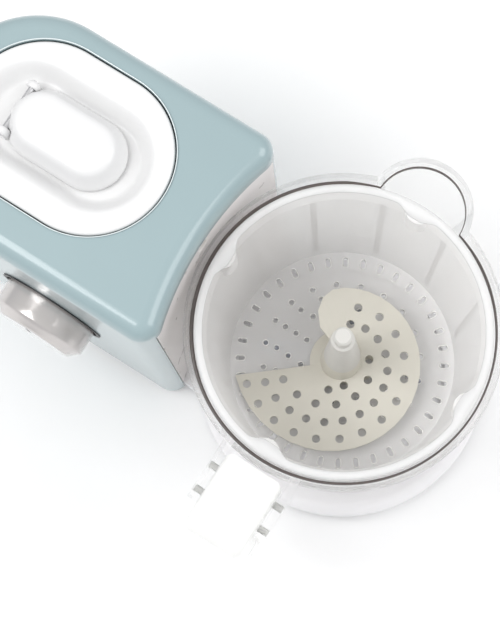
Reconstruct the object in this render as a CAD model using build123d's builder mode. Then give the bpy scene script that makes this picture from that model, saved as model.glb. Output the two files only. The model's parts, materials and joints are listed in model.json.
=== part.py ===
from build123d import *
import math
import os

# Baby food maker: a heating and drive tower beside a lift-off steaming and blending bowl.
# Millimetres, +Z up from the table. +X runs from the tower to the bowl, the control knob and
# the bowl handle face -Y, the pouring spout faces +Y. The origin is the middle of the footprint.

os.makedirs("parts", exist_ok=True)

# ---------------------------------------------------------------- driving dimensions
bowl_x = 68.0  # bowl and drive spindle axis
bowl_y = 11.0

pedestal_r = 72.0  # round end of the base, under the bowl
foot_h = 2.0
plate_t = 2.0
deck_z = 18.0  # top of the base, where the bowl stands
wall = 2.5

# Tower, measured from the bowl axis.
tower_left = -208.0
tower_right = -60.5
tower_y = -1.5
tower_depth = 106.0
tower_top = 162.0
left_corner_r = 45.0
right_corner_r = 9.0
top_edge_r = 8.0
shell_bottom = foot_h + plate_t

# The side of the tower that faces the bowl is hollowed to let the bowl rise past it.
hollow_r = 149.0
hollow_x = -70.4  # deepest point of the hollow
panel_half_w = 46.0
panel_top = 150.0

# Boiler, filler and its cover.
boiler_x = -143.0
boiler_y = 4.0
cover_left_x = -156.0  # centres of the cover's two round ends
cover_right_x = -130.7
cover_r = 36.6
cover_gap = 0.6
cover_top = 162.6
lever_left_x = -155.0
lever_right_x = -131.5
lever_pin_x = -168.5
lever_pin_z = 160.5
lever_pin_r = 1.5

# Control knob on the front of the tower.
knob_x = -127.0
knob_z = 80.0
knob_r = 24.0
knob_depth = 17.5
knob_bore = 9.0
bezel_r = 27.0
front_y = tower_y - tower_depth / 2
back_y = tower_y + tower_depth / 2

# Cord inlet, low on the back.
inlet_x = -150.0
inlet_z = 26.0
inlet_r = 5.0
cord_r = 3.2

# Motor and belt drive.
motor_x = -140.0
motor_y = -1.0
motor_r = 29.0
motor_pulley_r = 10.0
spindle_pulley_r = 30.0
spindle_r = 4.0
belt_gap = 0.3
belt_t = 1.6
belt_w = 5.0
pulley_bottom = 6.0
pulley_h = 7.0
shaft_r = 3.0  # motor and switch shafts
shaft_play = 0.06
shaft_bottom = 5.2
boss_bottom = 14.0  # bearing boss under the deck
bush_r = 6.5
bush_bore_r = 4.05

# Dog coupling between the drive spindle and the blades.
driver_z = 19.2
coupling_r = 3.6
coupling_h = 4.6
tooth_l = 4.2
tooth_w = 2.6
coupling_play = 0.5
driven_z = 19.4
driven_h = 6.8
driven_r = 9.2

# Bowl.
rim_r = 69.6
rim_top = 140.0
ledge_z = 131.8
bowl_bottom = 18.6
spout_y = 62.7
spout_r = 23.3
handle_reach = 108.0
handle_half_w = 14.0
cheek_t = 4.5
fit_gap = 0.3

# Steam basket and spiral plate.
basket_floor_z = 45.4
basket_floor_t = 1.8
slot_ring_r = 49.3
slot_count = 36
spiral_low_deg = -140.0
spiral_span_deg = 300.0
spiral_rise = 18.0
spiral_t = 1.8
spiral_z = basket_floor_z + basket_floor_t + 0.4
post_top_z = 122.0


# ---------------------------------------------------------------- helpers
def level(z, x=0.0, y=0.0):
    """A horizontal plane at height z, with its origin x, y from the bowl axis."""
    return Plane(origin=(bowl_x + x, bowl_y + y, z))


def facing_front(y, x=0.0):
    """An upright plane facing -Y: its x is X from the bowl axis, its y is height."""
    return Plane(origin=(bowl_x + x, bowl_y + y, 0), x_dir=(1, 0, 0), z_dir=(0, -1, 0))


def facing_bowl(x, y=0.0):
    """An upright plane facing +X: its x is Y from the bowl axis, its y is height."""
    return Plane(origin=(bowl_x + x, bowl_y + y, 0), x_dir=(0, 1, 0), z_dir=(1, 0, 0))


def upright(x=0.0, y=0.0):
    """The vertical axis through a point x, y from the bowl axis."""
    return Axis((bowl_x + x, bowl_y + y, 0), (0, 0, 1))


def turned(points, x=0.0, y=0.0):
    """A piece turned about the vertical at x, y, from its (radius, height) outline."""
    with BuildPart() as piece:
        with BuildSketch(facing_front(y, x)):
            with BuildLine():
                Polyline(*points, close=True)
            make_face()
        revolve(axis=upright(x, y))
    return piece


def stadium(plane, left_x, right_x, y, radius):
    """A sketch of an oblong with round ends centred at left_x and right_x."""
    length = right_x - left_x
    with BuildSketch(plane) as outline:
        with Locations(((left_x + right_x) / 2, y)):
            SlotCenterToCenter(length, 2 * radius)
    return outline


def save(piece, name):
    """Label a finished piece and write it under its node name."""
    piece.part.label = name
    export_step(piece.part, f"parts/{name}.step")


def tower_plan(z, inset):
    """The tower's outline seen from above, drawn in by inset, on a plane at height z."""
    length = tower_right - tower_left - 2 * inset
    centre_x = (tower_left + tower_right) / 2
    with BuildSketch(level(z, centre_x, tower_y)) as plan:
        Rectangle(length, tower_depth - 2 * inset)
        with Locations((hollow_x + hollow_r - centre_x, 0)):
            Circle(hollow_r + inset, mode=Mode.SUBTRACT)
        fillet(plan.vertices().sort_by(Axis.X)[:2], left_corner_r - inset)
        fillet(plan.vertices().sort_by(Axis.X)[-2:], right_corner_r - inset)
    return plan.sketch


def tower_block(inset, bottom, top, edge_r):
    """The tower's rounded body, drawn in by inset on every side."""
    plan = tower_plan(bottom, inset)
    with BuildPart() as block:
        extrude(plan, amount=top - bottom)
        fillet(block.faces().sort_by(Axis.Z)[-1].edges(), edge_r)
    return block.part


# ---------------------------------------------------------------- base
foot_spots = [(-188, -32), (-188, 30), (34, -50), (34, 50)]
screw_spots = [(-160, -38), (-160, 35), (-84, -36), (-84, 33), (52, 0)]
screw_r = 1.4
screw_head_r = 3.2
screw_post_r = 4.0

plate_inset = 1.5  # the plate stops this far inside the shells
neck_left = -90.0  # the neck joins the tower to the round end of the base
neck_right = -50.0
pan_half_w = 45.6
plate_plan = tower_plan(foot_h, plate_inset)

with BuildPart() as base_plate:
    extrude(plate_plan, amount=plate_t)
    with BuildSketch(level(foot_h)):
        Circle(pedestal_r - plate_inset)
        with Locations(((neck_left + neck_right) / 2, tower_y)):
            Rectangle(neck_right - neck_left, 2 * (pan_half_w - plate_inset))
    extrude(amount=plate_t)
    with BuildSketch(level(foot_h, motor_x, motor_y)):
        with GridLocations(6.0, 0, 7, 1):
            SlotOverall(30, 2.4, rotation=90)
    extrude(amount=plate_t, mode=Mode.SUBTRACT)
    with BuildSketch(level(foot_h)):
        with Locations(*screw_spots):
            Circle(screw_r + 0.2)
    extrude(amount=plate_t, mode=Mode.SUBTRACT)
save(base_plate, "base_plate")

with BuildPart() as rubber_feet:
    with BuildSketch(level(foot_h)):
        with Locations(*foot_spots):
            Circle(8)
    extrude(amount=-foot_h, taper=12)
save(rubber_feet, "rubber_feet")

pan_left = -186.0
cavity_top = deck_z - wall
rim_wall = 7.0  # side wall of the round end
tunnel_right = -40.0
tunnel_left = pan_left + wall
seat_r = 54.0  # ring that centres the bowl foot
seat_inner_r = 51.5
seat_h = 2.4
boss_r = 10.0
motor_hole_r = 11.5

with BuildPart() as base_pan:
    with BuildSketch(level(shell_bottom)):
        Circle(pedestal_r)
    extrude(amount=deck_z - shell_bottom)
    fillet(base_pan.edges().group_by(Axis.Z)[-1], 6)
    with BuildSketch(level(shell_bottom)):
        with Locations(((pan_left + neck_right) / 2, tower_y)):
            RectangleRounded(neck_right - pan_left, 2 * pan_half_w, 6)
    extrude(amount=deck_z - 0.4 - shell_bottom)
    # the belt tunnel, open below
    with BuildSketch(level(shell_bottom)):
        Circle(pedestal_r - rim_wall)
        with Locations(((tunnel_left + tunnel_right) / 2, tower_y)):
            RectangleRounded(tunnel_right - tunnel_left, 2 * (pan_half_w - wall), 4)
    extrude(amount=cavity_top - shell_bottom, mode=Mode.SUBTRACT)
    # seat ring for the bowl foot
    with BuildSketch(level(deck_z)):
        Circle(seat_r)
        Circle(seat_inner_r, mode=Mode.SUBTRACT)
    extrude(amount=seat_h)
    # spindle boss, motor hole, screw posts
    with BuildSketch(level(boss_bottom)):
        Circle(boss_r)
    extrude(amount=deck_z - boss_bottom)
    with BuildSketch(level(shell_bottom)):
        with Locations(*screw_spots):
            Circle(screw_post_r)
    extrude(amount=cavity_top - shell_bottom)
    with BuildSketch(level(shell_bottom)):
        with Locations(*screw_spots):
            Circle(screw_r)
    extrude(amount=10, mode=Mode.SUBTRACT)
    with BuildSketch(level(shell_bottom)):
        Circle(bush_r)
        with Locations((motor_x, motor_y)):
            Circle(motor_hole_r)
    extrude(amount=deck_z, mode=Mode.SUBTRACT)
save(base_pan, "base_pan")

with BuildPart() as base_screws:
    with BuildSketch(level(foot_h)):
        with Locations(*screw_spots):
            Circle(screw_head_r)
    extrude(amount=-1.2)
    with BuildSketch(level(foot_h)):
        with Locations(*screw_spots):
            Circle(screw_r)
    extrude(amount=11.6)
save(base_screws, "base_screws")

# ---------------------------------------------------------------- drive: motor, belt, spindle
motor_z = deck_z + 0.2
motor_h = 66.0
flange_r = 36.0
flange_t = 3.0
flange_rise = 4.0  # height of the flange on the case
bolt_ring_r = 32.5
bolt_post_r = 3.2
bolt_hole_r = 1.6
flange_foot = deck_z - 0.4

with BuildPart() as motor_case:
    with BuildSketch(level(motor_z, motor_x, motor_y)):
        Circle(motor_r)
    extrude(amount=motor_h)
    fillet(motor_case.edges().group_by(Axis.Z)[-1], 4)
    with BuildSketch(level(motor_z, motor_x, motor_y)):
        Circle(motor_hole_r - 0.5)
    extrude(amount=4, mode=Mode.SUBTRACT)
    with BuildSketch(level(motor_z, motor_x, motor_y)):
        Circle(shaft_r + shaft_play)
    extrude(amount=40, mode=Mode.SUBTRACT)
    # cooling windows round the case
    with Locations(level(motor_z + 48, motor_x, motor_y)):
        with PolarLocations(motor_r, 8):
            Box(5, 9, 18, mode=Mode.SUBTRACT)
save(motor_case, "motor_case")

with BuildPart() as motor_flange:
    with BuildSketch(level(motor_z + flange_rise, motor_x, motor_y)):
        Circle(flange_r)
        Circle(motor_r, mode=Mode.SUBTRACT)
        with PolarLocations(bolt_ring_r, 4, start_angle=45):
            Circle(bolt_hole_r, mode=Mode.SUBTRACT)
    extrude(amount=flange_t)
    with BuildSketch(level(flange_foot, motor_x, motor_y)):
        with PolarLocations(bolt_ring_r, 4, start_angle=45):
            Circle(bolt_post_r)
            Circle(bolt_hole_r, mode=Mode.SUBTRACT)
    extrude(amount=motor_z + flange_rise - flange_foot)
save(motor_flange, "motor_flange")

with BuildPart() as motor_shaft:
    with BuildSketch(level(shaft_bottom, motor_x, motor_y)):
        Circle(shaft_r)
    extrude(amount=50)
save(motor_shaft, "motor_shaft")


def pulley(x, y, radius, bore_r):
    """A flat belt pulley with a turned rim and a bore."""
    with BuildPart() as wheel:
        with BuildSketch(level(pulley_bottom, x, y)):
            Circle(radius)
            Circle(bore_r, mode=Mode.SUBTRACT)
        extrude(amount=pulley_h)
        if radius > 20:
            with BuildSketch(level(pulley_bottom, x, y)):
                with PolarLocations(radius * 0.58, 6):
                    Circle(5)
            extrude(amount=pulley_h, mode=Mode.SUBTRACT)
    return wheel


save(pulley(motor_x, motor_y, motor_pulley_r, shaft_r), "motor_pulley")
save(pulley(0, 0, spindle_pulley_r, spindle_r), "spindle_pulley")


def belt_outline(extra):
    """The belt loop's outline: two pulley circles joined by their outer tangents."""
    r1 = motor_pulley_r + extra
    r2 = spindle_pulley_r + extra
    span = math.hypot(motor_x, motor_y)
    lean = math.acos((r2 - r1) / span)
    heading = math.atan2(motor_y, motor_x)
    corners = []
    for centre, radius, sign in (
        ((0, 0), r2, 1),
        ((motor_x, motor_y), r1, 1),
        ((motor_x, motor_y), r1, -1),
        ((0, 0), r2, -1),
    ):
        angle = heading + sign * lean
        corners.append((centre[0] + radius * math.cos(angle), centre[1] + radius * math.sin(angle)))
    with BuildSketch(level(pulley_bottom + 1)) as loop:
        with BuildLine():
            Polyline(*corners, close=True)
        make_face()
        Circle(r2)
        with Locations((motor_x, motor_y)):
            Circle(r1)
    return loop.sketch


belt_outer = belt_outline(belt_gap + belt_t)
belt_inner = belt_outline(belt_gap)

with BuildPart() as drive_belt:
    extrude(belt_outer, amount=belt_w)
    extrude(belt_inner, amount=belt_w, mode=Mode.SUBTRACT)
save(drive_belt, "drive_belt")

bush_lip_r = 8.0
bush_top = deck_z + 0.6
spindle_bush = turned(
    [
        (bush_bore_r, boss_bottom), (bush_r, boss_bottom), (bush_r, deck_z), (bush_lip_r, deck_z),
        (bush_lip_r, bush_top), (bush_bore_r, bush_top),
    ]
)
save(spindle_bush, "spindle_bush")

with BuildPart() as drive_spindle:
    with BuildSketch(level(shaft_bottom)):
        Circle(spindle_r)
    extrude(amount=driver_z - shaft_bottom)
    with BuildSketch(level(shaft_bottom)):
        with Locations((spindle_r, 0)):
            Rectangle(0.8, 3)
    extrude(amount=0.6, mode=Mode.SUBTRACT)
save(drive_spindle, "drive_spindle")

with BuildPart() as drive_coupling:
    with BuildSketch(level(driver_z)):
        Circle(coupling_r)
        with PolarLocations(coupling_r, 4):
            Rectangle(tooth_l, tooth_w)
    extrude(amount=coupling_h)
    chamfer(drive_coupling.faces().sort_by(Axis.Z)[-1].edges(), 0.4)
save(drive_coupling, "drive_coupling")

# ---------------------------------------------------------------- tower shell and panel
shell_outer = tower_block(0.0, shell_bottom, tower_top, top_edge_r)
shell_inner = tower_block(wall, shell_bottom, tower_top - wall, top_edge_r - wall)
cover_outline = stadium(level(tower_top - 15), cover_left_x, cover_right_x, boiler_y, cover_r + cover_gap)

with BuildPart() as tower_shell:
    add(shell_outer)
    add(shell_inner, mode=Mode.SUBTRACT)
    # the opening that the bowl-side panel fills
    with BuildSketch(facing_bowl(-90, tower_y)):
        with Locations((0, (panel_top + shell_bottom) / 2)):
            Rectangle(2 * panel_half_w, panel_top - shell_bottom)
    extrude(amount=40, mode=Mode.SUBTRACT)
    extrude(cover_outline.sketch, amount=20, mode=Mode.SUBTRACT)
    # hole for the control bezel, and the cord inlet at the back
    with BuildSketch(facing_front(front_y, knob_x)):
        with Locations((0, knob_z)):
            Circle(bezel_r + 0.1)
    extrude(amount=-8, both=True, mode=Mode.SUBTRACT)
    with BuildSketch(facing_front(back_y, inlet_x)):
        with Locations((0, inlet_z)):
            Circle(inlet_r + 0.1)
    extrude(amount=8, both=True, mode=Mode.SUBTRACT)
save(tower_shell, "tower_shell")

panel_w = 2 * (panel_half_w - fit_gap)
nozzle_z = 143.0
nozzle_r = 4.0
panel_bottom = deck_z + 0.4

with BuildPart() as tower_panel:
    with BuildSketch(level(panel_bottom, hollow_x + hollow_r, tower_y)):
        Circle(hollow_r + 0.6 + wall)
        Circle(hollow_r + 0.6, mode=Mode.SUBTRACT)
        with Locations((-hollow_r, 0)):
            Rectangle(40, panel_w, mode=Mode.INTERSECT)
    extrude(amount=panel_top - fit_gap - panel_bottom)
    with BuildSketch(facing_bowl(hollow_x - 8, tower_y)):
        with Locations((0, nozzle_z)):
            Circle(nozzle_r + 0.1)
    extrude(amount=16, mode=Mode.SUBTRACT)
save(tower_panel, "tower_panel")

with BuildPart() as cord_gland:
    with BuildSketch(facing_front(back_y + 1.2, inlet_x)):
        with Locations((0, inlet_z)):
            Circle(inlet_r + 2)
            Circle(cord_r, mode=Mode.SUBTRACT)
    extrude(amount=1.2)
    with BuildSketch(facing_front(back_y, inlet_x)):
        with Locations((0, inlet_z)):
            Circle(inlet_r)
            Circle(cord_r, mode=Mode.SUBTRACT)
    extrude(amount=wall + 3)
save(cord_gland, "cord_gland")

# ---------------------------------------------------------------- control: bezel, knob, switch
bezel_face = front_y - 0.6
bezel_back = front_y + 3.6

with BuildPart() as control_bezel:
    with BuildSketch(facing_front(bezel_back, knob_x)):
        with Locations((0, knob_z)):
            Circle(bezel_r)
            Circle(4.4, mode=Mode.SUBTRACT)
    extrude(amount=bezel_back - bezel_face)
    with BuildSketch(facing_front(bezel_face, knob_x)):
        with Locations((0, knob_z)):
            Circle(knob_r + 1.0)
    extrude(amount=-2.0, mode=Mode.SUBTRACT)
save(control_bezel, "control_bezel")

knob_back = bezel_face + 1.4

with BuildPart() as control_knob:
    with BuildSketch(facing_front(knob_back, knob_x)):
        with Locations((0, knob_z)):
            Circle(knob_r)
    extrude(amount=knob_depth)
    chamfer(control_knob.faces().sort_by(Axis.Y)[0].edges(), 4.5)
    # pointer groove in the face
    with BuildSketch(facing_front(knob_back - knob_depth, knob_x)):
        with Locations((0, knob_z + 12)):
            Rectangle(1.6, 8)
    extrude(amount=-0.8, mode=Mode.SUBTRACT)
    with BuildSketch(facing_front(knob_back, knob_x)):
        with Locations((0, knob_z)):
            Circle(shaft_r)
    extrude(amount=knob_bore, mode=Mode.SUBTRACT)
save(control_knob, "control_knob")

switch_front = bezel_back
switch_depth = 14.0

with BuildPart() as rotary_switch:
    with BuildSketch(facing_front(switch_front + switch_depth, knob_x)):
        with Locations((0, knob_z)):
            RectangleRounded(26, 26, 3)
    extrude(amount=switch_depth)
    with BuildSketch(facing_front(switch_front, knob_x)):
        with Locations((0, knob_z)):
            Circle(shaft_r + shaft_play)
    extrude(amount=-10, mode=Mode.SUBTRACT)
save(rotary_switch, "rotary_switch")

with BuildPart() as switch_shaft:
    with BuildSketch(facing_front(switch_front + 9.5, knob_x)):
        with Locations((0, knob_z)):
            Circle(shaft_r)
    extrude(amount=switch_front + 9.5 - (knob_back - knob_bore))
save(switch_shaft, "switch_shaft")

# ---------------------------------------------------------------- boiler and filler
tank_r = 31.0
tank_bottom = 98.0
tank_top = 146.0
neck_r = 16.0

boiler_tank = turned(
    [
        (0, tank_bottom), (tank_r - 3, tank_bottom), (tank_r, tank_bottom + 3), (tank_r, tank_top - 3),
        (neck_r + 1.5, tank_top), (neck_r + 1.5, tank_top + 3), (neck_r, tank_top + 3),
        (neck_r, tank_top - 1.5), (tank_r - 1.5, tank_top - 4.5), (tank_r - 1.5, tank_bottom + 4),
        (tank_r - 4, tank_bottom + 1.5), (0, tank_bottom + 1.5),
    ],
    boiler_x,
    boiler_y,
)
save(boiler_tank, "boiler_tank")

with BuildPart() as heating_element:
    with BuildSketch(facing_front(boiler_y, boiler_x)):
        with Locations((20, tank_bottom - 3.6)):
            Circle(3.5)
    revolve(axis=upright(boiler_x, boiler_y), revolution_arc=320)
save(heating_element, "heating_element")

with BuildPart() as thermostat:
    with BuildSketch(level(tank_bottom, boiler_x, boiler_y)):
        Circle(9)
    extrude(amount=-8)
    with BuildSketch(level(tank_bottom - 8, boiler_x, boiler_y)):
        with GridLocations(8, 0, 2, 1):
            Rectangle(1, 5)
    extrude(amount=-5)
save(thermostat, "thermostat")

tray_z = 148.0
tray_h = 11.4

with BuildPart() as filler_tray:
    extrude(
        stadium(level(tray_z), cover_left_x, cover_right_x, boiler_y, cover_r + 3.0).sketch,
        amount=tray_h,
    )
    extrude(
        stadium(level(tray_z + 2), cover_left_x, cover_right_x, boiler_y, cover_r + 1.0).sketch,
        amount=10,
        mode=Mode.SUBTRACT,
    )
    with BuildSketch(level(tray_z, boiler_x, boiler_y)):
        Circle(neck_r + 1.6)
    extrude(amount=5, mode=Mode.SUBTRACT)
save(filler_tray, "filler_tray")

duct_z = 132.0
duct_start_x = boiler_x + tank_r + 0.2
duct_t = 1.2
nozzle_back_x = hollow_x - wall - 2

with BuildPart() as steam_duct:
    with BuildLine(facing_front(tower_y)):
        FilletPolyline(
            (duct_start_x, duct_z),
            (-96, duct_z),
            (-86, nozzle_z),
            (nozzle_back_x, nozzle_z),
            radius=5,
        )
    with BuildSketch(facing_bowl(duct_start_x, tower_y)):
        with Locations((0, duct_z)):
            Circle(nozzle_r)
            Circle(nozzle_r - duct_t, mode=Mode.SUBTRACT)
    sweep()
save(steam_duct, "steam_duct")

with BuildPart() as steam_nozzle:
    with BuildSketch(facing_bowl(nozzle_back_x, tower_y)):
        with Locations((0, nozzle_z)):
            Circle(nozzle_r)
            Circle(nozzle_r - duct_t, mode=Mode.SUBTRACT)
    extrude(amount=wall + 1.2)
save(steam_nozzle, "steam_nozzle")

with BuildPart() as control_board:
    with BuildSketch(facing_bowl(-190, tower_y)):
        with Locations((0, 70)):
            Rectangle(56, 60)
    extrude(amount=1.6)
    with BuildSketch(facing_bowl(-188.4, tower_y)):
        with Locations((-14, 60), (12, 62), (0, 86)):
            Rectangle(12, 10)
    extrude(amount=8)
save(control_board, "control_board")

# ---------------------------------------------------------------- boiler cover and its lever
dish_left_x = -162.0
dish_right_x = -127.0
dish_r = 20.5
dish_floor = 155.0
cover_bottom = 151.0
cover_t = 2.4
ear_half_w = 14.0
ear_gap_half_w = 10.4

with BuildPart() as boiler_cover:
    extrude(
        stadium(level(cover_bottom), cover_left_x, cover_right_x, boiler_y, cover_r).sketch,
        amount=cover_top - cover_bottom,
    )
    fillet(boiler_cover.edges().group_by(Axis.Z)[-1], 1.5)
    extrude(
        stadium(level(cover_bottom), cover_left_x, cover_right_x, boiler_y, cover_r - cover_t).sketch,
        amount=cover_top - cover_t - cover_bottom,
        mode=Mode.SUBTRACT,
    )
    extrude(
        stadium(level(dish_floor - cover_t), dish_left_x, dish_right_x, boiler_y, dish_r + cover_t).sketch,
        amount=cover_top - 1.0 - (dish_floor - cover_t),
    )
    extrude(
        stadium(level(dish_floor), dish_left_x, dish_right_x, boiler_y, dish_r).sketch,
        amount=10,
        mode=Mode.SUBTRACT,
    )
    # plug that carries the seal
    with BuildSketch(level(cover_bottom, boiler_x, boiler_y)):
        Circle(neck_r - 1.8)
    extrude(amount=dish_floor - cover_t - cover_bottom)
    with BuildSketch(level(cover_bottom, boiler_x, boiler_y)):
        Circle(neck_r - 3.4)
    extrude(amount=-5)
    # two ears for the lever pin
    with BuildSketch(facing_front(boiler_y, lever_pin_x)):
        with Locations((0, (dish_floor + lever_pin_z) / 2)):
            Rectangle(6, lever_pin_z - dish_floor)
        with Locations((0, lever_pin_z)):
            Circle(3)
    extrude(amount=ear_half_w, both=True)
    with BuildSketch(facing_front(boiler_y, lever_pin_x)):
        with Locations((0, (dish_floor + lever_pin_z) / 2)):
            Rectangle(12, 14)
    extrude(amount=ear_gap_half_w, both=True, mode=Mode.SUBTRACT)
    with BuildSketch(facing_front(boiler_y, lever_pin_x)):
        with Locations((0, lever_pin_z)):
            Circle(lever_pin_r)
    extrude(amount=ear_half_w, both=True, mode=Mode.SUBTRACT)
    extrude(
        stadium(level(dish_floor - cover_t), dish_left_x, dish_right_x, boiler_y, dish_r).sketch,
        amount=cover_t,
    )
save(boiler_cover, "boiler_cover")

cover_seal = turned(
    [
        (neck_r - 3.4, cover_bottom - 4.6), (neck_r - 0.4, cover_bottom - 4.6),
        (neck_r - 0.4, cover_bottom - 1.6), (neck_r - 1.6, cover_bottom), (neck_r - 3.4, cover_bottom),
    ],
    boiler_x,
    boiler_y,
)
save(cover_seal, "cover_seal")

lever_bottom = 156.2
lever_top = 168.5

with BuildPart() as cover_lever:
    with BuildSketch(level(lever_bottom)):
        with Locations(((lever_left_x + lever_right_x) / 2, boiler_y - 0.4)):
            SlotCenterToCenter(lever_right_x - lever_left_x, 33)
    with BuildSketch(level(lever_top)):
        with Locations(((lever_left_x + lever_right_x) / 2, boiler_y)):
            SlotCenterToCenter(lever_right_x - lever_left_x, 23)
    loft()
    fillet(cover_lever.faces().sort_by(Axis.Z)[-1].edges(), 3)
    # hinge barrel at the far end
    with BuildSketch(facing_front(boiler_y, lever_pin_x)):
        with Locations((0, lever_pin_z)):
            Circle(3.4)
    extrude(amount=10, both=True)
    with BuildSketch(facing_front(boiler_y, lever_pin_x)):
        with Locations((0, lever_pin_z)):
            Circle(lever_pin_r + 0.05)
    extrude(amount=ear_half_w, both=True, mode=Mode.SUBTRACT)
    # room for the cover's two ears
    with BuildSketch(level(lever_bottom)):
        with Locations((lever_pin_x, boiler_y - 15), (lever_pin_x, boiler_y + 15)):
            Rectangle(11, 10)
    extrude(amount=20, mode=Mode.SUBTRACT)
save(cover_lever, "cover_lever")

with BuildPart() as lever_pin:
    with BuildSketch(facing_front(boiler_y, lever_pin_x)):
        with Locations((0, lever_pin_z)):
            Circle(lever_pin_r)
    extrude(amount=ear_half_w, both=True)
save(lever_pin, "lever_pin")

# ---------------------------------------------------------------- bowl, spout and handle
cheek_outer = handle_half_w + fit_gap + cheek_t
cheek_y = -79.0
spout_floor = 133.0
throat_y = 48.0
spout_wall = 2.4
bearing_r = 5.2
pin_spots = [(79, 122), (91, 122)]
pin_r = 1.6

with BuildPart() as bowl:
    with BuildSketch(facing_front(0)):
        with BuildLine():
            Polyline(
                (0, 24), (54.5, 24), (57.5, 27), (57.5, bowl_bottom), (60.5, bowl_bottom), (67, 129),
                (rim_r, 132), (rim_r, rim_top), (0, rim_top), close=True,
            )
        make_face()
    revolve(axis=upright())
    # spout bulge and the tapering throat below it
    with BuildSketch(level(131)):
        with Locations((0, spout_y)):
            Circle(spout_r)
    extrude(amount=rim_top - 131)
    with BuildSketch(level(131)):
        with Locations((0, spout_y)):
            Circle(spout_r)
    with BuildSketch(level(104)):
        with Locations((0, throat_y)):
            Circle(12)
    loft()
    # cheeks that hold the handle
    with BuildSketch(level(110)):
        with Locations((-cheek_outer + cheek_t / 2, cheek_y), (cheek_outer - cheek_t / 2, cheek_y)):
            Rectangle(cheek_t, 34)
    extrude(amount=22)
    # inside of the bowl
    with BuildSketch(facing_front(0)):
        with BuildLine():
            Polyline(
                (0, 29.5), (15.5, 29.5), (18, 26.5), (54, 26.5), (58.2, 30), (63.9, 128), (63.9, ledge_z),
                (67.2, ledge_z), (67.2, rim_top), (0, rim_top), close=True,
            )
        make_face()
    revolve(axis=upright(), mode=Mode.SUBTRACT)
    with BuildSketch(level(spout_floor)):
        with Locations((0, spout_y)):
            Circle(spout_r - spout_wall)
    extrude(amount=rim_top - spout_floor, mode=Mode.SUBTRACT)
    with BuildSketch(level(spout_floor)):
        with Locations((0, spout_y)):
            Circle(spout_r - spout_wall)
    with BuildSketch(level(109)):
        with Locations((0, throat_y)):
            Circle(10)
    loft(mode=Mode.SUBTRACT)
    # underside recess and bore for the blade bearing
    with BuildSketch(level(24)):
        Circle(13)
    extrude(amount=2.8, mode=Mode.SUBTRACT)
    with BuildSketch(level(24)):
        Circle(bearing_r)
    extrude(amount=8, mode=Mode.SUBTRACT)
    with BuildSketch(facing_bowl(-cheek_outer)):
        with Locations(*[(-reach, height) for reach, height in pin_spots]):
            Circle(pin_r)
    extrude(amount=2 * cheek_outer, mode=Mode.SUBTRACT)
    fillet(bowl.faces().sort_by(Axis.Z)[-1].edges(), 0.9)
save(bowl, "bowl")

with BuildPart() as bowl_handle:
    with BuildSketch(facing_bowl(-handle_half_w)):
        with BuildLine():
            Line((-70.4, 133), (-98, 133))
            ThreePointArc((-98, 133), (-105, 130), (-handle_reach, 122))
            Line((-handle_reach, 122), (-104, 52))
            ThreePointArc((-104, 52), (-99, 46), (-93, 51))
            Line((-93, 51), (-95, 104))
            ThreePointArc((-95, 104), (-92, 110.5), (-86, 113))
            Line((-86, 113), (-70.4, 113))
            Line((-70.4, 113), (-70.4, 133))
        make_face()
    extrude(amount=2 * handle_half_w)
    fillet(bowl_handle.faces().sort_by(Axis.X)[0].edges(), 3.5)
    fillet(bowl_handle.faces().sort_by(Axis.X)[-1].edges(), 3.5)
    with BuildSketch(facing_bowl(-handle_half_w)):
        with Locations(*[(-reach, height) for reach, height in pin_spots]):
            Circle(pin_r)
    extrude(amount=2 * handle_half_w, mode=Mode.SUBTRACT)
save(bowl_handle, "bowl_handle")

with BuildPart() as handle_pins:
    with BuildSketch(facing_bowl(-cheek_outer)):
        with Locations(*[(-reach, height) for reach, height in pin_spots]):
            Circle(pin_r)
    extrude(amount=2 * cheek_outer)
save(handle_pins, "handle_pins")

# ---------------------------------------------------------------- blades
blade_bearing = turned(
    [(4.06, 26.8), (bearing_r, 26.8), (bearing_r, 29.5), (7.5, 29.5), (7.5, 30.3), (4.06, 30.3)]
)
save(blade_bearing, "blade_bearing")

blade_seal = turned([(4.4, 30.3), (6.6, 30.3), (6.6, 31.1), (4.4, 31.1)])
save(blade_seal, "blade_seal")

with BuildPart() as driven_coupling:
    with BuildSketch(level(driven_z)):
        Circle(driven_r)
    extrude(amount=driven_h)
    with BuildSketch(level(driven_z)):
        Circle(coupling_r + coupling_play)
        with PolarLocations(coupling_r, 4):
            Rectangle(tooth_l + 2 * coupling_play, tooth_w + 2 * coupling_play)
    extrude(amount=5.0, mode=Mode.SUBTRACT)
    with BuildSketch(level(driven_z)):
        Circle(spindle_r)
    extrude(amount=driven_h, mode=Mode.SUBTRACT)
save(driven_coupling, "driven_coupling")

shaft_start = 24.6
shaft_end = 41.0
lower_blade_z = 35.0
upper_blade_z = 39.0
blade_t = 1.2
blade_shaft = turned([(0, shaft_start), (spindle_r, shaft_start), (spindle_r, shaft_end), (0, shaft_end)])
save(blade_shaft, "blade_shaft")

hub_neck_r = 5.5
hub_end = 40.2
blade_hub = turned(
    [
        (spindle_r, 31.6), (8.5, 31.6), (8.5, lower_blade_z), (hub_neck_r, lower_blade_z),
        (hub_neck_r, hub_end), (spindle_r, hub_end),
    ]
)
save(blade_hub, "blade_hub")

blade_spacer = turned(
    [
        (hub_neck_r, lower_blade_z + blade_t), (7.6, lower_blade_z + blade_t),
        (7.6, upper_blade_z), (hub_neck_r, upper_blade_z),
    ]
)
save(blade_spacer, "blade_spacer")

blade_cap = turned(
    [
        (0, shaft_end), (spindle_r, shaft_end), (spindle_r, hub_end), (8.5, hub_end),
        (7.5, 43), (4, 44), (0, 44),
    ]
)
save(blade_cap, "blade_cap")


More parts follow.
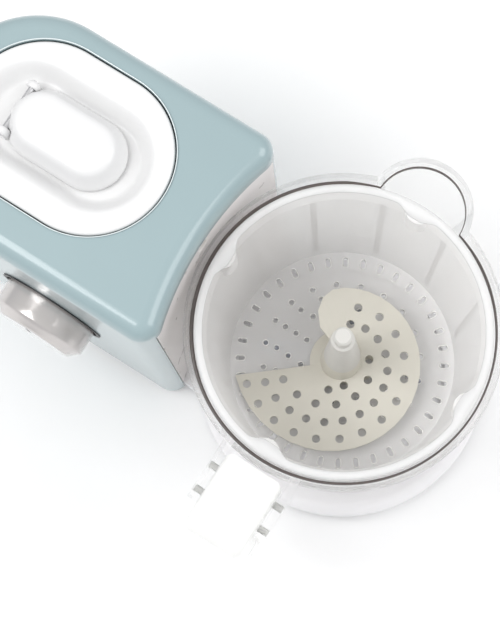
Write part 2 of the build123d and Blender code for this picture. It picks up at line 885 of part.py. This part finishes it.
def blade(z, length, lean):
    """A flat steel blade with two swept arms, each ground on its leading side."""
    with BuildPart() as steel:
        with BuildSketch(level(z)):
            Circle(8.2)
            for side in (0, 180):
                with BuildSketch(mode=Mode.ADD):
                    with BuildLine(Plane.XY.rotated((0, 0, lean + side))):
                        Line((0, -7), (length * 0.9, -3))
                        ThreePointArc((length * 0.9, -3), (length, 2), (length * 0.86, 5))
                        ThreePointArc((length * 0.86, 5), (length * 0.45, 4), (0, 7))
                        Line((0, 7), (0, -7))
                    make_face()
            Circle(hub_neck_r, mode=Mode.SUBTRACT)
        extrude(amount=blade_t)
    return steel


lower_blade = blade(lower_blade_z, 42.0, 15)
save(lower_blade, "lower_blade")
upper_blade = blade(upper_blade_z, 34.0, 105)
save(upper_blade, "upper_blade")

# ---------------------------------------------------------------- steam basket
basket_floor_top = basket_floor_z + basket_floor_t
hole_rings = [(38.1, 20), (32.3, 18), (26.2, 14), (20.0, 10)]
basket_rim_r = 65.0
basket_rim_top = 137.5
rim_band_r = 62.4
wave_bottom = 121.0

with BuildPart() as steam_basket:
    with BuildSketch(facing_front(0)):
        with BuildLine():
            Polyline(
                (0, basket_floor_z), (54.6, basket_floor_z), (55.8, basket_floor_z + 1.4), (61.4, 130.5),
                (rim_band_r, ledge_z + fit_gap), (basket_rim_r, ledge_z + fit_gap),
                (basket_rim_r, basket_rim_top), (61.8, basket_rim_top), (59.8, 130.5),
                (54.2, basket_floor_top), (0, basket_floor_top), close=True,
            )
        make_face()
    revolve(axis=upright())
    # four finger waves in the rim band
    with BuildSketch(level(wave_bottom + 1)):
        with PolarLocations(63, 4):
            Circle(6.5)
    extrude(amount=basket_rim_top - wave_bottom - 1)
    with BuildSketch(level(wave_bottom)):
        Circle(80)
        Circle(basket_rim_r, mode=Mode.SUBTRACT)
    extrude(amount=20, mode=Mode.SUBTRACT)
    with BuildSketch(level(wave_bottom)):
        Circle(80)
        Circle(rim_band_r, mode=Mode.SUBTRACT)
    extrude(amount=ledge_z + fit_gap - wave_bottom, mode=Mode.SUBTRACT)
    # steam slots and drain holes in the floor
    with BuildSketch(level(basket_floor_z)):
        with PolarLocations(slot_ring_r, slot_count):
            SlotOverall(4.4, 2.1)
        for ring_r, holes in hole_rings:
            with PolarLocations(ring_r, holes):
                Circle(1.2)
    extrude(amount=basket_floor_t, mode=Mode.SUBTRACT)
save(steam_basket, "steam_basket")

# ---------------------------------------------------------------- spiral plate and its post
spiral_steps = 30


def spiral_radius(t):
    """Outer radius of the spiral, from its low wide end (t=0) to its high narrow end (t=1)."""
    end_round = max(0.0, (t - 0.88) / 0.12)
    return 52 - 34 * t + 14 * t**2 - 15 * end_round**2


def spiral_holes():
    """Centres of the drain holes: rows that follow the spiral, evenly spaced along it."""
    centres = []
    for row_inset, first_deg, last_deg, spacing in (
        (0.0, -134, 130, 11.3),
        (8.5, -132, 112, 11.3),
        (17.0, -130, 70, 10.2),
        (25.0, -82, -50, 7.8),
    ):
        angle = first_deg
        while angle < last_deg:
            t = (angle - spiral_low_deg) / spiral_span_deg
            row_r = spiral_radius(t) - 4 - 6 * t
            centre_r = row_r - row_inset
            turn = math.radians(angle)
            centres.append((centre_r * math.cos(turn), centre_r * math.sin(turn)))
            step_r = centre_r if row_inset > 10 else row_r
            angle += math.degrees(spacing / step_r)
    return centres


hub_top = spiral_z + spiral_rise + spiral_t + 1
plate_bore_r = 6.0
post_foot_r = 8.6

with BuildPart() as spiral_plate:
    for step in range(spiral_steps + 1):
        t = step / spiral_steps
        angle = math.radians(spiral_low_deg + spiral_span_deg * t)
        section = Plane(
            origin=(bowl_x, bowl_y, spiral_z + spiral_rise * t),
            x_dir=(math.cos(angle), math.sin(angle), 0),
            z_dir=(math.sin(angle), -math.cos(angle), 0),
        )
        with BuildSketch(section):
            with Locations((8, 0)):
                Rectangle(spiral_radius(t) - 8, spiral_t, align=(Align.MIN, Align.MIN))
    loft(ruled=True)
    # hub disc and cone
    with BuildSketch(level(spiral_z)):
        Circle(15.5)
    extrude(amount=spiral_t)
    with BuildSketch(level(spiral_z)):
        Circle(10.5)
    with BuildSketch(level(hub_top)):
        Circle(post_foot_r)
    loft()
    with BuildSketch(level(spiral_z - 5)):
        Circle(plate_bore_r)
    extrude(amount=60, mode=Mode.SUBTRACT)
    with BuildSketch(level(spiral_z - 5)):
        with Locations(*spiral_holes()):
            Circle(2.0)
    extrude(amount=60, mode=Mode.SUBTRACT)
save(spiral_plate, "spiral_plate")

plate_post = turned(
    [
        (0, spiral_z), (plate_bore_r, spiral_z), (plate_bore_r, hub_top), (post_foot_r, hub_top),
        (5.4, 112), (4.2, 113),
        (4.2, post_top_z - 1), (3.4, post_top_z), (0, post_top_z),
    ]
)
save(plate_post, "plate_post")
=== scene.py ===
import json
import math

import bmesh
import bpy
from mathutils import Matrix, Vector


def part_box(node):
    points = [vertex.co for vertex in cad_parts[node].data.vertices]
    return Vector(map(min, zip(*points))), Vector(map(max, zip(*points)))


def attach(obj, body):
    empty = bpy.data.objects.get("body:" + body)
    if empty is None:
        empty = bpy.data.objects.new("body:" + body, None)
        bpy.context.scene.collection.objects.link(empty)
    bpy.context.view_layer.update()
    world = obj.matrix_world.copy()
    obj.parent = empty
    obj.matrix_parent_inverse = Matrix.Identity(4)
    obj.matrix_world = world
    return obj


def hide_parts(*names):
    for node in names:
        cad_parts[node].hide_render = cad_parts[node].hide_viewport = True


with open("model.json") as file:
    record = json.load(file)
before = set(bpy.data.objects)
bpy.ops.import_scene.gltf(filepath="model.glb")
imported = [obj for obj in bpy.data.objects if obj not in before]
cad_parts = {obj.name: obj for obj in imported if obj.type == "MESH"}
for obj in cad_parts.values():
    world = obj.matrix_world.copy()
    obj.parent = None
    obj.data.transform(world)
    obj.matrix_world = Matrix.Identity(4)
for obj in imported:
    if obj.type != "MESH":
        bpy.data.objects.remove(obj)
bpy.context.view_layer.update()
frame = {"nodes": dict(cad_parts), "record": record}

# Baby food maker: a teal heating tower with a white boiler cover and knob, beside a clear
# bowl that holds a frosted steam basket and a cream spiral plate. Metres, in the frame's axes.

MM = 0.001
nodes = frame["nodes"]
record = frame["record"]


def centre(node):
    """The middle of a CAD node's box."""
    low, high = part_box(node)
    return (low + high) / 2


axis_x = centre("blade_shaft").x
axis_y = centre("blade_shaft").y

spout_y = 62.7 * MM  # the spout's centre, from the bowl axis
groove_r = 66.15 * MM  # middle of the gap between the basket's rim and the bowl's
groove_spout_r = 20.2 * MM
floor_t = 1.8 * MM  # the basket's floor
ear_start = 10.45 * MM  # the pin ears, from the cover's middle line
ear_room = 3.3 * MM  # how far the lever is narrowed past the pin
soft_edge = 1.6 * MM  # rounding of the cover's top edge


# ---------------------------------------------------------------- camera, light and floor
def add_camera():
    """A long lens above the bowl, rolled so that the tower lies to the upper left."""
    right = Vector((0.84056, 0.5398, -0.04542))
    up = Vector((-0.52459, 0.83205, 0.18029))
    back = Vector((0.13511, -0.12772, 0.98256))
    camera_data = bpy.data.cameras.new("camera")
    camera_data.lens = 97.92
    camera_data.sensor_width = 36.0
    camera_data.clip_start = 0.01
    camera = bpy.data.objects.new("camera", camera_data)
    bpy.context.scene.collection.objects.link(camera)
    turn = Matrix((right, up, back)).transposed().to_4x4()
    camera.matrix_world = Matrix.Translation((0.12937, -0.09835, 0.8626)) @ turn
    bpy.context.scene.camera = camera


def add_softbox(name, place, target, size, watts):
    """A square soft light at place, turned towards target."""
    light_data = bpy.data.lights.new(name, "AREA")
    light_data.shape = "SQUARE"
    light_data.size = size
    light_data.energy = watts
    light = bpy.data.objects.new(name, light_data)
    bpy.context.scene.collection.objects.link(light)
    light.location = place
    aim = Vector(target) - Vector(place)
    light.rotation_euler = aim.to_track_quat("-Z", "Y").to_euler()


def add_world(strength):
    """A white surround, brighter overhead than at the horizon."""
    world = bpy.data.worlds.new("studio")
    world.use_nodes = True
    tree = world.node_tree
    background = tree.nodes["Background"]
    background.inputs["Strength"].default_value = strength
    coords = tree.nodes.new("ShaderNodeTexCoord")
    parts = tree.nodes.new("ShaderNodeSeparateXYZ")
    ramp = tree.nodes.new("ShaderNodeValToRGB")
    ramp.color_ramp.elements[0].position = 0.05
    ramp.color_ramp.elements[0].color = (0.66, 0.67, 0.70, 1.0)
    ramp.color_ramp.elements[1].position = 0.75
    ramp.color_ramp.elements[1].color = (1.0, 1.0, 1.0, 1.0)
    tree.links.new(coords.outputs["Generated"], parts.inputs["Vector"])
    tree.links.new(parts.outputs["Z"], ramp.inputs["Fac"])
    tree.links.new(ramp.outputs["Color"], background.inputs["Color"])
    bpy.context.scene.world = world


# ---------------------------------------------------------------- materials
def new_material(name):
    """An empty node material with its tree and its principled shader."""
    material = bpy.data.materials.new(name)
    material.use_nodes = True
    tree = material.node_tree
    return material, tree, tree.nodes["Principled BSDF"]


def object_noise(tree, scale, detail, stretch=(1, 1, 1)):
    """Noise fixed to the object, with its grain stretched along its axes."""
    coords = tree.nodes.new("ShaderNodeTexCoord")
    mapping = tree.nodes.new("ShaderNodeMapping")
    mapping.inputs["Scale"].default_value = stretch
    noise = tree.nodes.new("ShaderNodeTexNoise")
    noise.inputs["Scale"].default_value = scale
    noise.inputs["Detail"].default_value = detail
    tree.links.new(coords.outputs["Object"], mapping.inputs["Vector"])
    tree.links.new(mapping.outputs["Vector"], noise.inputs["Vector"])
    return noise.outputs["Fac"]


def vary_colour(tree, shader, colour, amount, scale):
    """Base colour that drifts a little lighter and darker over the surface."""
    ramp = tree.nodes.new("ShaderNodeValToRGB")
    ramp.color_ramp.elements[0].position = 0.3
    ramp.color_ramp.elements[1].position = 0.7
    ramp.color_ramp.elements[0].color = [c * (1 - amount) for c in colour] + [1]
    ramp.color_ramp.elements[1].color = [min(1, c * (1 + amount)) for c in colour] + [1]
    tree.links.new(object_noise(tree, scale, 3), ramp.inputs["Fac"])
    tree.links.new(ramp.outputs["Color"], shader.inputs["Base Color"])


def vary_roughness(tree, shader, middle, spread, scale, stretch=(1, 1, 1)):
    """Roughness that wanders by spread either side of its middle."""
    reach = tree.nodes.new("ShaderNodeMapRange")
    reach.inputs["To Min"].default_value = max(0.02, middle - spread)
    reach.inputs["To Max"].default_value = middle + spread
    tree.links.new(object_noise(tree, scale, 4, stretch), reach.inputs["Value"])
    tree.links.new(reach.outputs["Result"], shader.inputs["Roughness"])


def add_bump(tree, shader, scale, depth, strength, stretch=(1, 1, 1)):
    """Fine relief of the given depth in metres."""
    bump = tree.nodes.new("ShaderNodeBump")
    bump.inputs["Strength"].default_value = strength
    bump.inputs["Distance"].default_value = depth
    tree.links.new(object_noise(tree, scale, 5, stretch), bump.inputs["Height"])
    tree.links.new(bump.outputs["Normal"], shader.inputs["Normal"])


def moulded(name, colour, roughness, depth=0.000004, coat=0.0, drift=0.02, sheen=0.0):
    """Opaque moulded plastic or rubber."""
    material, tree, shader = new_material(name)
    vary_colour(tree, shader, colour, drift, 35)
    vary_roughness(tree, shader, roughness, 0.02, 90)
    add_bump(tree, shader, 900, depth, 0.12)
    shader.inputs["Metallic"].default_value = sheen
    shader.inputs["IOR"].default_value = 1.5
    shader.inputs["Coat Weight"].default_value = coat
    shader.inputs["Coat Roughness"].default_value = 0.12
    return material


def metal(name, colour, roughness, stretch=(1, 1, 1)):
    """Metal whose grain runs along the axes with the smallest stretch."""
    material, tree, shader = new_material(name)
    vary_colour(tree, shader, colour, 0.04, 60)
    vary_roughness(tree, shader, roughness, 0.1, 420, stretch)
    add_bump(tree, shader, 900, 0.00002, 0.3, stretch)
    shader.inputs["Metallic"].default_value = 1.0
    return material


def see_through(name, colour, roughness, transmission, alpha, ior, drift=0.01, depth=0.00004):
    """Clear or frosted plastic."""
    material, tree, shader = new_material(name)
    vary_colour(tree, shader, colour, drift, 30)
    vary_roughness(tree, shader, roughness, min(0.04, roughness * 0.6), 180)
    add_bump(tree, shader, 90, depth, 0.2)
    shader.inputs["Transmission Weight"].default_value = transmission
    shader.inputs["IOR"].default_value = ior
    shader.inputs["Alpha"].default_value = alpha
    return material


finish = {
    "base_grey": moulded("base_grey", (0.72, 0.73, 0.74), 0.5),
    "rubber_grey": moulded("rubber_grey", (0.32, 0.32, 0.33), 0.75),
    "rubber_black": moulded("rubber_black", (0.02, 0.02, 0.02), 0.7),
    "white_plastic": moulded("white_plastic", (0.86, 0.85, 0.86), 0.3, coat=0.2),
    "steel": metal("steel", (0.62, 0.62, 0.63), 0.3, (1, 1, 12)),
    "blade_steel": metal("blade_steel", (0.42, 0.44, 0.48), 0.22, (1, 14, 1)),
    "black_plastic": moulded("black_plastic", (0.015, 0.015, 0.017), 0.4),
    "brass": metal("brass", (0.70, 0.50, 0.22), 0.3),
    "aluminium": metal("aluminium", (0.78, 0.78, 0.80), 0.35, (12, 12, 1)),
    "silicone": moulded("silicone", (0.80, 0.78, 0.75), 0.55),
    "board_green": moulded("board_green", (0.03, 0.16, 0.06), 0.35),
    "shell_teal": moulded("shell_teal", (0.31, 0.41, 0.43), 0.3, coat=0.7, drift=0.012),
    "panel_beige": moulded("panel_beige", (0.93, 0.89, 0.87), 0.28, coat=0.5, drift=0.03),
    "knob_white": moulded("knob_white", (0.56, 0.53, 0.515), 0.18, coat=1.0, sheen=0.45),
    "cover_white": moulded("cover_white", (0.775, 0.775, 0.775), 0.36, coat=0.1, drift=0.006),
    "bowl_clear": see_through("bowl_clear", (0.98, 0.98, 0.97), 0.04, 1.0, 0.32, 1.3),
    "handle_white": moulded("handle_white", (0.90, 0.90, 0.88), 0.28, coat=0.3),
    "basket_frosted": see_through("basket_frosted", (0.97, 0.96, 0.95), 0.3, 0.1, 0.5, 1.45),
    "plate_cream": moulded("plate_cream", (0.68, 0.655, 0.58), 0.5, drift=0.03),
    # painted shade: the post's grey, darker than the plate's cream, stands in for the shade on it
    "post_grey": moulded("post_grey", (0.63, 0.62, 0.59), 0.4),
}
for part in record["subparts"]:
    mesh = nodes[part["node"]].data
    mesh.materials.clear()
    mesh.materials.append(finish[part["material_slot"]])


# ---------------------------------------------------------------- mesh helpers
def skin(name, rings, material, loop=False):
    """A smooth closed object through rings of points: capped at both ends, or joined in a loop."""
    mesh = bmesh.new()
    rows = [[mesh.verts.new(point) for point in ring] for ring in rings]
    pairs = list(zip(rows, rows[1:]))
    if loop:
        pairs.append((rows[-1], rows[0]))
    count = len(rings[0])
    for below, above in pairs:
        for i in range(count):
            j = (i + 1) % count
            mesh.faces.new((below[i], below[j], above[j], above[i]))
    if not loop:
        mesh.faces.new(list(reversed(rows[0])))
        mesh.faces.new(rows[-1])
    bmesh.ops.recalc_face_normals(mesh, faces=mesh.faces)
    for face in mesh.faces:
        face.smooth = len(face.verts) == 4
    data = bpy.data.meshes.new(name)
    mesh.to_mesh(data)
    mesh.free()
    data.materials.append(material)
    piece = bpy.data.objects.new(name, data)
    bpy.context.scene.collection.objects.link(piece)
    return piece


def oblong_ring(left, right, middle_y, radius, height, count=192):
    """Points round an oblong with round ends centred at left and right."""
    points = []
    for i in range(count):
        angle = 2 * math.pi * (i + 0.5) / count - math.pi / 2
        end_x = right if math.cos(angle) > 0 else left
        x = end_x + radius * math.cos(angle)
        points.append(Vector((x, middle_y + radius * math.sin(angle), height)))
    return points


def smooth_step(low, high, value):
    """0 below low, 1 above high, and an easy curve between."""
    t = min(1.0, max(0.0, (value - low) / (high - low)))
    return t * t * (3 - 2 * t)


def turned_ring(name, profile, material, count, wobble):
    """A ring about the bowl axis, from its (radius, height) profile, with a radius that wobbles."""
    rings = []
    for radius, height in profile:
        ring = []
        for i in range(count):
            angle = 2 * math.pi * i / count
            grown = radius + wobble(angle, radius)
            x = axis_x + grown * math.cos(angle)
            ring.append(Vector((x, axis_y + grown * math.sin(angle), height)))
        rings.append(ring)
    return skin(name, rings, material, loop=True)


# ---------------------------------------------------------------- boiler cover and lever
cover_low, cover_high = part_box("boiler_cover")
cover_r = (cover_high.y - cover_low.y) / 2
cover_y = (cover_high.y + cover_low.y) / 2
cover_left = cover_low.x + cover_r
cover_right = cover_high.x - cover_r
cover_top = cover_high.z - 0.9 * MM
lever_low, lever_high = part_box("cover_lever")
pin = centre("lever_pin")


def build_cover():
    """The oblong cover, with a soft-edged dish round its lever and two ears for the pin."""
    skirt_bottom = cover_top - 11.6 * MM
    dish_depth = 7.6 * MM
    dish_left = cover_left - 6.0 * MM
    dish_right = cover_right + 3.7 * MM

    def dish(point):
        """How far the surface sinks at a point."""
        end_x = min(max(point.x, dish_left), dish_right)
        away = math.hypot(point.x - end_x, point.y - cover_y)
        return dish_depth * (1 - smooth_step(17.2 * MM, 25.5 * MM, away))

    rings = [oblong_ring(cover_left, cover_right, cover_y, cover_r - 0.5 * MM, skirt_bottom)]
    rings.append(oblong_ring(cover_left, cover_right, cover_y, cover_r, skirt_bottom + 0.5 * MM))
    for step in range(7):
        angle = math.pi / 2 * step / 6
        radius = cover_r - soft_edge * (1 - math.cos(angle))
        height = cover_top - soft_edge * (1 - math.sin(angle))
        rings.append(oblong_ring(cover_left, cover_right, cover_y, radius, height))
    steps = 64
    for step in range(1, steps):
        radius = (cover_r - soft_edge) * (1 - step / steps)
        ring = oblong_ring(cover_left, cover_right, cover_y, radius, cover_top)
        rings.append([Vector((p.x, p.y, p.z - dish(p))) for p in ring])
    cover = skin("boiler_cover_moulding", rings, finish["cover_white"])
    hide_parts("boiler_cover")
    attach(cover, "cover")
    ear_steps = ((0, 0.25), (0.25, 0), (1.6, 0), (2.5, 0.25), (3.1, 0.8), (3.45, 1.7))
    for side in (-1, 1):
        rings = []
        for outward, shrink in ear_steps:
            y = cover_y + side * (ear_start + outward * MM)
            shrink *= MM
            rings.append([
                Vector((pin.x + x * (3 * MM - shrink), y, pin.z + z))
                for x, z in ear_outline(shrink)
            ])
        ear = skin("lever_ear_" + ("front" if side < 0 else "back"), rings, finish["cover_white"])
        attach(ear, "cover")


def ear_outline(shrink):
    """One ear's outline: x as a share of its half width, z from the pin."""
    outline = [(-1, -5.4 * MM), (1, -5.4 * MM)]
    for step in range(13):
        angle = math.pi * step / 12
        outline.append((math.cos(angle), math.sin(angle) * (3 * MM - shrink)))
    return outline


def build_lever():
    """The raised grip: a long pillow with sloping sides, narrowed where it passes the ears."""
    base_r = (lever_high.y - lever_low.y) / 2
    left = lever_low.x + base_r
    right = lever_high.x - base_r
    bottom = lever_low.z
    rise = lever_high.z - lever_low.z
    ear_gap = 10.15 * MM
    profile = [
        (0.955, 0.0), (1.0, 0.04), (0.985, 0.16), (0.93, 0.32), (0.865, 0.50), (0.81, 0.67),
        (0.765, 0.81), (0.71, 0.905), (0.63, 0.965), (0.52, 0.992), (0.38, 1.0), (0.2, 1.0),
        (0.05, 1.0),
    ]
    rings = []
    for share, lift in profile:
        ring = oblong_ring(left, right, cover_y, base_r * share, bottom + rise * lift)
        for point in ring:
            if point.x < pin.x + ear_room:
                point.y = min(max(point.y, cover_y - ear_gap), cover_y + ear_gap)
        rings.append(ring)
    lever = skin("cover_grip", rings, finish["cover_white"])
    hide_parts("cover_lever")
    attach(lever, "lever")


def build_gap_shade():
    """A black ring in the gap between the cover and the tower: painted shade standing in for the
    shadow in the gap.
    """
    inner = cover_r + 0.12 * MM
    outer = cover_r + 0.52 * MM
    high = cover_top - 2.2 * MM
    low = high - 6 * MM
    rings = [
        oblong_ring(cover_left, cover_right, cover_y, radius, height)
        for radius, height in ((inner, low), (outer, low), (outer, high), (inner, high))
    ]
    # painted shade: a black ring put in the gap where there is only shadow
    gap_shade = skin("cover_gap_painted_shade", rings, finish["black_plastic"], loop=True)
    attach(gap_shade, "base")


# ---------------------------------------------------------------- knob
def build_knob():
    """The round control knob: a plain drum with a broad chamfer and a pointer groove."""
    low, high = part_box("control_knob")
    middle_x = (low.x + high.x) / 2
    middle_z = (low.z + high.z) / 2
    radius = (high.x - low.x) / 2
    depth = high.y - low.y
    profile = [
        (0.965, 0.0), (0.99, 0.012), (1.0, 0.05), (1.0, 0.3), (1.0, 0.55), (1.0, 0.72),
        (0.995, 0.745), (0.98, 0.77), (0.93, 0.83), (0.88, 0.89), (0.83, 0.95), (0.812, 0.975),
        (0.79, 0.99), (0.76, 1.0), (0.72, 1.0), (0.5, 1.0), (0.3, 1.0), (0.02, 1.0),
    ]
    rings = []
    for share, forward in profile:
        ring = []
        for i in range(160):
            angle = 2 * math.pi * i / 160
            x = middle_x + radius * share * math.cos(angle)
            z = middle_z + radius * share * math.sin(angle)
            ring.append(Vector((x, high.y - depth * forward, z)))
        rings.append(ring)
    knob = skin("knob_body", rings, finish["knob_white"])
    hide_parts("control_knob")
    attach(knob, "control")
    mark = [
        oblong_ring(-3 * MM, 3 * MM, 0, reach * MM, 0, 48)
        for reach in (0.95, 0.95, 0.8, 0.05)
    ]
    rings = []
    for flat, proud in zip(mark, (-0.3, 0.02, 0.05, 0.05)):
        rings.append([
            Vector((middle_x + p.y, low.y - proud * MM, middle_z + 12 * MM + p.x)) for p in flat
        ])
    pointer = skin("knob_pointer_mark", rings, finish["black_plastic"])
    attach(pointer, "control")


# ---------------------------------------------------------------- bowl rim and basket details
def sweep_closed(name, path, widths, profile, material):
    """A closed moulding: a profile of (share of width, height) points along a flat path."""
    count = len(path)
    rings = []
    for i in range(count):
        ahead = path[(i + 1) % count] - path[i - 1]
        outward = Vector((ahead.y, -ahead.x, 0)).normalized() * widths[i]
        rings.append([
            path[i] + outward * reach + Vector((0, 0, height)) for reach, height in profile
        ])
    return skin(name, rings, material, loop=True)


def rim_path(ring_r, spout_r):
    """The rim's outline from above: the bowl's circle joined to the spout's."""
    join_y = (spout_y ** 2 + ring_r ** 2 - spout_r ** 2) / (2 * spout_y)
    join_x = math.sqrt(ring_r ** 2 - join_y ** 2)
    start = math.pi - math.atan2(join_y, join_x)
    end = math.atan2(join_y, join_x) + 2 * math.pi
    path = []
    for i in range(260):
        angle = start + (end - start) * i / 259
        x = axis_x + ring_r * math.cos(angle)
        path.append(Vector((x, axis_y + ring_r * math.sin(angle), 0)))
    lean = math.atan2(join_y - spout_y, join_x)
    for i in range(1, 60):
        angle = lean + (math.pi - 2 * lean) * i / 60
        x = axis_x + spout_r * math.cos(angle)
        path.append(Vector((x, axis_y + spout_y + spout_r * math.sin(angle), 0)))
    return path


def groove_shade_half_width(point):
    """The painted shade strip in the groove is widest beside the tower and narrows to a line round
    the spout.
    """
    angle = math.atan2(point.y - axis_y, point.x - axis_x)
    facing = (1 - math.cos(angle)) / 2
    round_bowl = (0.42 + 0.43 * facing) * MM
    at_spout = smooth_step(56 * MM, 64 * MM, point.y - axis_y)
    return round_bowl * (1 - at_spout) + 0.22 * MM * at_spout


def build_rim_details():
    """A dark strip of painted shade in the gap inside the bowl's rim, and the basket's pale rim
    band.
    """
    rim_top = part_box("bowl")[1].z
    # painted shade: a dark brown strip standing for the shadow in the gap between the basket's rim
    # and the bowl's
    dark = moulded("painted_groove_shade", (0.10, 0.082, 0.076), 0.3, coat=0.3)
    groove_low = rim_top - 7.0 * MM
    groove_high = rim_top - 4.6 * MM
    path = rim_path(groove_r, groove_spout_r)
    widths = [groove_shade_half_width(point) for point in path]
    groove = sweep_closed(
        "rim_groove_painted_shade",
        path,
        widths,
        [(-1, groove_low), (1, groove_low), (1, groove_high), (-1, groove_high)],
        dark,
    )
    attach(groove, "bowl_group")

    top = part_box("steam_basket")[1].z

    def wave(angle, radius):
        """The band's inner edge dips inwards at the four finger notches."""
        if radius > 62.6 * MM:
            return 0
        away = min(
            abs((angle - quarter * math.pi / 2 + math.pi) % (2 * math.pi) - math.pi)
            for quarter in range(4)
        )
        return -3.2 * MM * (1 - smooth_step(0.04, 0.17, away))

    band_pale = see_through("rim_band_pale", (0.94, 0.94, 0.94), 0.25, 0.1, 0.5, 1.45)
    band = turned_ring(
        "basket_rim_band",
        [(61.2 * MM, top + 0.05 * MM), (64.8 * MM, top + 0.05 * MM), (64.6 * MM, top + 0.6 * MM),
         (63.0 * MM, top + 0.75 * MM), (61.4 * MM, top + 0.5 * MM)],
        band_pale,
        count=240,
        wobble=wave,
    )
    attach(band, "basket")


def build_basket_details():
    """Broad shallow ribs outside the basket's wall, and raised edges round its floor's holes."""
    floor_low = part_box("steam_basket")[0].z
    middle = Vector((axis_x, axis_y, 0))
    ribs = 12
    for index in range(ribs):
        angle = 2 * math.pi * (index + 0.5) / ribs
        out = Vector((math.cos(angle), math.sin(angle), 0))
        along = Vector((-math.sin(angle), math.cos(angle), 0))
        rings = []
        for step in range(9):
            share = step / 8
            height = floor_low + (5 + 76 * share) * MM
            wall_r = (56.1 + 5.15 * share) * MM
            proud = 0.5 * MM * min(1.0, 6 * share + 0.2, 6 * (1 - share) + 0.2)
            rings.append([
                middle + out * (wall_r - 0.4 * MM) + along * 1.3 * MM + Vector((0, 0, height)),
                middle + out * (wall_r + proud) + along * 0.7 * MM + Vector((0, 0, height)),
                middle + out * (wall_r + proud) - along * 0.7 * MM + Vector((0, 0, height)),
                middle + out * (wall_r - 0.4 * MM) - along * 1.3 * MM + Vector((0, 0, height)),
            ])
        rib = skin(f"basket_rib_{index:02d}", rings, finish["basket_frosted"])
        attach(rib, "basket")

    floor_top = floor_low + floor_t
    edge_white = moulded("hole_edge_white", (0.95, 0.94, 0.91), 0.25, coat=0.4, drift=0.01)
    spots = [(49.3, 36, 1.15, 1.05)]  # circle radius, how many, half length, hole radius
    for ring_r, holes in ((38.1, 20), (32.3, 18), (26.2, 14), (20.0, 10)):
        spots.append((ring_r, holes, 0.0, 1.2))
    for number, (ring_r, holes, half_length, hole_r) in enumerate(spots):
        for index in range(holes):
            angle = 2 * math.pi * index / holes
            turn = Matrix.Rotation(angle, 3, "Z")
            rings = []
            for reach, height in ((0.02, 0.0), (0.38, 0.0), (0.34, 0.16), (0.08, 0.18)):
                flat = oblong_ring(
                    (ring_r - half_length) * MM, (ring_r + half_length) * MM, 0,
                    (hole_r + reach) * MM, 0, 24,
                )
                rings.append([
                    turn @ p + middle + Vector((0, 0, floor_top + height * MM)) for p in flat
                ])
            edge = skin(f"basket_hole_edge_{number}_{index:02d}", rings, edge_white, loop=True)
            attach(edge, "basket")


def build_cover_lip_highlight():
    """The rounded edge of the tower's top round the cover, in a pale teal that is a painted
    highlight.
    """
    # painted highlight: a much paler teal than the shell, for the light caught on the edge
    highlight_paint = moulded("painted_highlight_teal", (0.74, 0.81, 0.82), 0.15, coat=1.0, drift=0.01)
    top = cover_top + 0.3 * MM
    rings = [
        oblong_ring(cover_left, cover_right, cover_y, cover_r + reach * MM, top - drop * MM)
        for reach, drop in ((0.64, 1.0), (1.1, 1.0), (1.1, 0.04), (0.95, 0.0), (0.72, 0.1))
    ]
    edge = skin("cover_opening_lip_painted_highlight", rings, highlight_paint, loop=True)
    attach(edge, "base")


build_cover()
build_lever()
build_gap_shade()
build_knob()
build_rim_details()
build_basket_details()
build_cover_lip_highlight()

add_camera()
add_world(0.86)
add_softbox("key", (-0.55, -0.45, 1.3), (0, 0, 0.08), 0.7, 8.0)
add_softbox("fill", (0.9, 0.5, 0.9), (0, 0, 0.08), 0.8, 5.0)


def add_floor():
    """A wide pale floor under the feet."""
    mesh = bmesh.new()
    bmesh.ops.create_grid(mesh, x_segments=8, y_segments=8, size=4.0)
    data = bpy.data.meshes.new("floor")
    mesh.to_mesh(data)
    mesh.free()
    data.materials.append(moulded("floor_white", (0.93, 0.93, 0.93), 0.8, drift=0.004))
    floor = bpy.data.objects.new("floor", data)
    bpy.context.scene.collection.objects.link(floor)


add_floor()
bpy.context.scene.view_settings.view_transform = "Standard"
